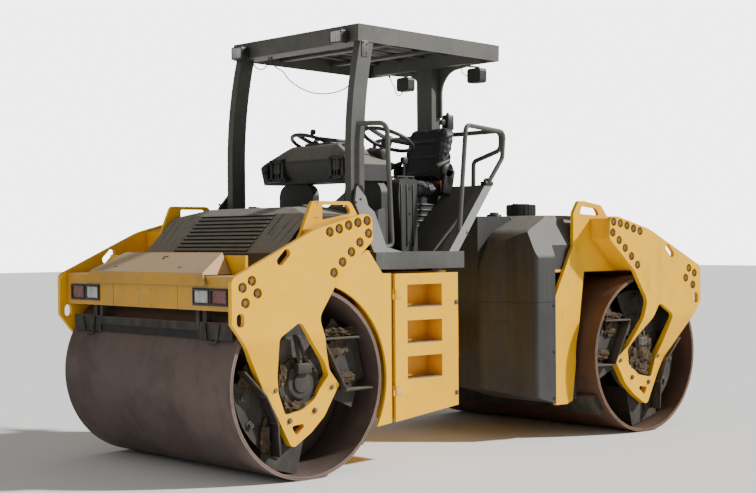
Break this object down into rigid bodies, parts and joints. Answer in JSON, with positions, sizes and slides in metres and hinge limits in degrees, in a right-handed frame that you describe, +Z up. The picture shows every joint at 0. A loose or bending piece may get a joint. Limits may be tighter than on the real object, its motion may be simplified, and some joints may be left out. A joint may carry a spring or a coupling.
{
  "type": "tandem road roller",
  "caption": "Articulated tandem road roller with two smooth steel drums, bolted side arms, louvred engine hood, open canopy over the operator's platform and a moulded water tank.",
  "frame": {"origin": "on the ground, midway between the two drums, on the machine's centre plane", "axes": "+X towards the engine end, +Y to the machine's left, +Z up"},
  "size_m": [4.644, 2.11, 2.9858],
  "materials": {
    "yellow_paint": "satin",
    "grey_paint": "satin",
    "dark_plastic": "moulded",
    "drum_steel": "worn, rusty",
    "dark_steel": "dirty",
    "bare_steel": "plain",
    "rubber": "matt",
    "seat_cover": "worn",
    "white_lens": "ribbed",
    "red_lens": "ribbed"
  },
  "bodies": {
    "front_drum": {"front_drum_brackets": "dark_steel", "front_drum_rubber_blocks": "rubber", "front_drum_shell": "drum_steel"},
    "rear_drum": {"rear_drum_brackets": "dark_steel", "rear_drum_rubber_blocks": "rubber", "rear_drum_shell": "drum_steel"},
    "engine_hood": {"engine_hood": "dark_plastic"},
    "front_lid": {"front_lid": "yellow_paint"},
    "step_door_left": {"step_door_left": "yellow_paint"},
    "step_door_right": {"step_door_right": "yellow_paint"},
    "pivot_yoke": {"pivot_yoke": "dark_steel"},
    "steering_barrel_left": {"steering_barrel_left": "dark_steel"},
    "steering_barrel_right": {"steering_barrel_right": "dark_steel"},
    "steering_rod_left": {"steering_rod_left": "bare_steel"},
    "steering_rod_right": {"steering_rod_right": "bare_steel"},
    "rear_frame": {"rear_arm_left": "yellow_paint", "rear_arm_right": "yellow_paint", "rear_axles": "dark_steel", "rear_beam": "yellow_paint", "rear_chassis": "yellow_paint", "rear_lamp_housings": "dark_plastic", "rear_lamp_red": "red_lens", "rear_lamp_white": "white_lens", "rear_scraper": "dark_steel", "rear_scraper_lip": "rubber", "rear_side_plates": "yellow_paint", "tank_cap": "dark_plastic", "water_tank": "dark_plastic"},
    "front_frame": {"canopy_posts": "grey_paint", "canopy_roof": "grey_paint", "control_console": "dark_plastic", "engine": "dark_steel", "front_arm_left": "yellow_paint", "front_arm_right": "yellow_paint", "front_axles": "dark_steel", "front_beam": "yellow_paint", "front_bulkhead": "yellow_paint", "front_chassis": "yellow_paint", "front_lamp_housings": "dark_plastic", "front_lamp_red": "red_lens", "front_lamp_white": "white_lens", "front_scraper": "dark_steel", "front_scraper_lip": "rubber", "front_side_plates": "yellow_paint", "handrails": "grey_paint", "lamp_lead_left": "rubber", "lamp_lead_right": "rubber", "platform": "grey_paint", "post_feet": "grey_paint", "rear_tub": "grey_paint", "roof_cable": "rubber", "roof_cable_short": "rubber", "seat_back": "seat_cover", "seat_base": "seat_cover", "seat_cushion": "seat_cover", "skirts": "yellow_paint", "steering_wheels": "dark_plastic", "step_boxes": "yellow_paint", "work_lamps": "dark_plastic", "work_lenses": "white_lens"}
  },
  "joints": [
    {"name": "front_drum_spin", "type": "hinge", "parent": "front_frame", "child": "front_drum", "pos_m": [1.69, 0, 0.61], "axis": [0, 1, 0], "continuous": true},
    {"name": "rear_drum_spin", "type": "hinge", "parent": "rear_frame", "child": "rear_drum", "pos_m": [-1.69, 0, 0.61], "axis": [0, 1, 0], "continuous": true},
    {"name": "steer", "type": "hinge", "parent": "front_frame", "child": "pivot_yoke", "pos_m": [0, 0, 0.78], "axis": [0, 0, 1], "range_deg": [-35, 35]},
    {"name": "oscillate", "type": "hinge", "parent": "pivot_yoke", "child": "rear_frame", "pos_m": [0, 0, 0.78], "axis": [1, 0, 0], "range_deg": [-8, 8]},
    {"name": "steering_barrel_left_swivel", "type": "hinge", "parent": "front_frame", "child": "steering_barrel_left", "pos_m": [0.62, 0.2, 0.78], "axis": [0, 0, 1], "range_deg": [-3, 3]},
    {"name": "steering_barrel_right_swivel", "type": "hinge", "parent": "front_frame", "child": "steering_barrel_right", "pos_m": [0.62, -0.2, 0.78], "axis": [0, 0, 1], "range_deg": [-3, 3]},
    {"name": "steering_rod_left_slide", "type": "slide", "parent": "steering_barrel_left", "child": "steering_rod_left", "axis": [-1, 0, 0], "range_m": [-0.12, 0.12]},
    {"name": "steering_rod_right_slide", "type": "slide", "parent": "steering_barrel_right", "child": "steering_rod_right", "axis": [-1, 0, 0], "range_m": [-0.12, 0.12]},
    {"name": "engine_hood_hinge", "type": "hinge", "parent": "front_frame", "child": "engine_hood", "pos_m": [1.103, 0, 1.748], "axis": [0, -1, 0], "range_deg": [0, 60]},
    {"name": "front_lid_hinge", "type": "hinge", "parent": "front_frame", "child": "front_lid", "pos_m": [2.048, 0, 1.436], "axis": [0, -1, 0], "range_deg": [0, 75]},
    {"name": "step_door_left_hinge", "type": "hinge", "parent": "front_frame", "child": "step_door_left", "pos_m": [0.985, 1.018, 0.8], "axis": [0, 0, -1], "range_deg": [0, 95]},
    {"name": "step_door_right_hinge", "type": "hinge", "parent": "front_frame", "child": "step_door_right", "pos_m": [0.985, -1.018, 0.8], "axis": [0, 0, 1], "range_deg": [0, 95]}
  ],
  "couplings": [
    {"joint": "steering_barrel_left_swivel", "follows": "steer", "ratio": 0.0764},
    {"joint": "steering_barrel_right_swivel", "follows": "steer", "ratio": 0.0764},
    {"joint": "steering_rod_left_slide", "follows": "steer", "m_per_rad": 0.1935},
    {"joint": "steering_rod_right_slide", "follows": "steer", "m_per_rad": -0.1935}
  ]
}
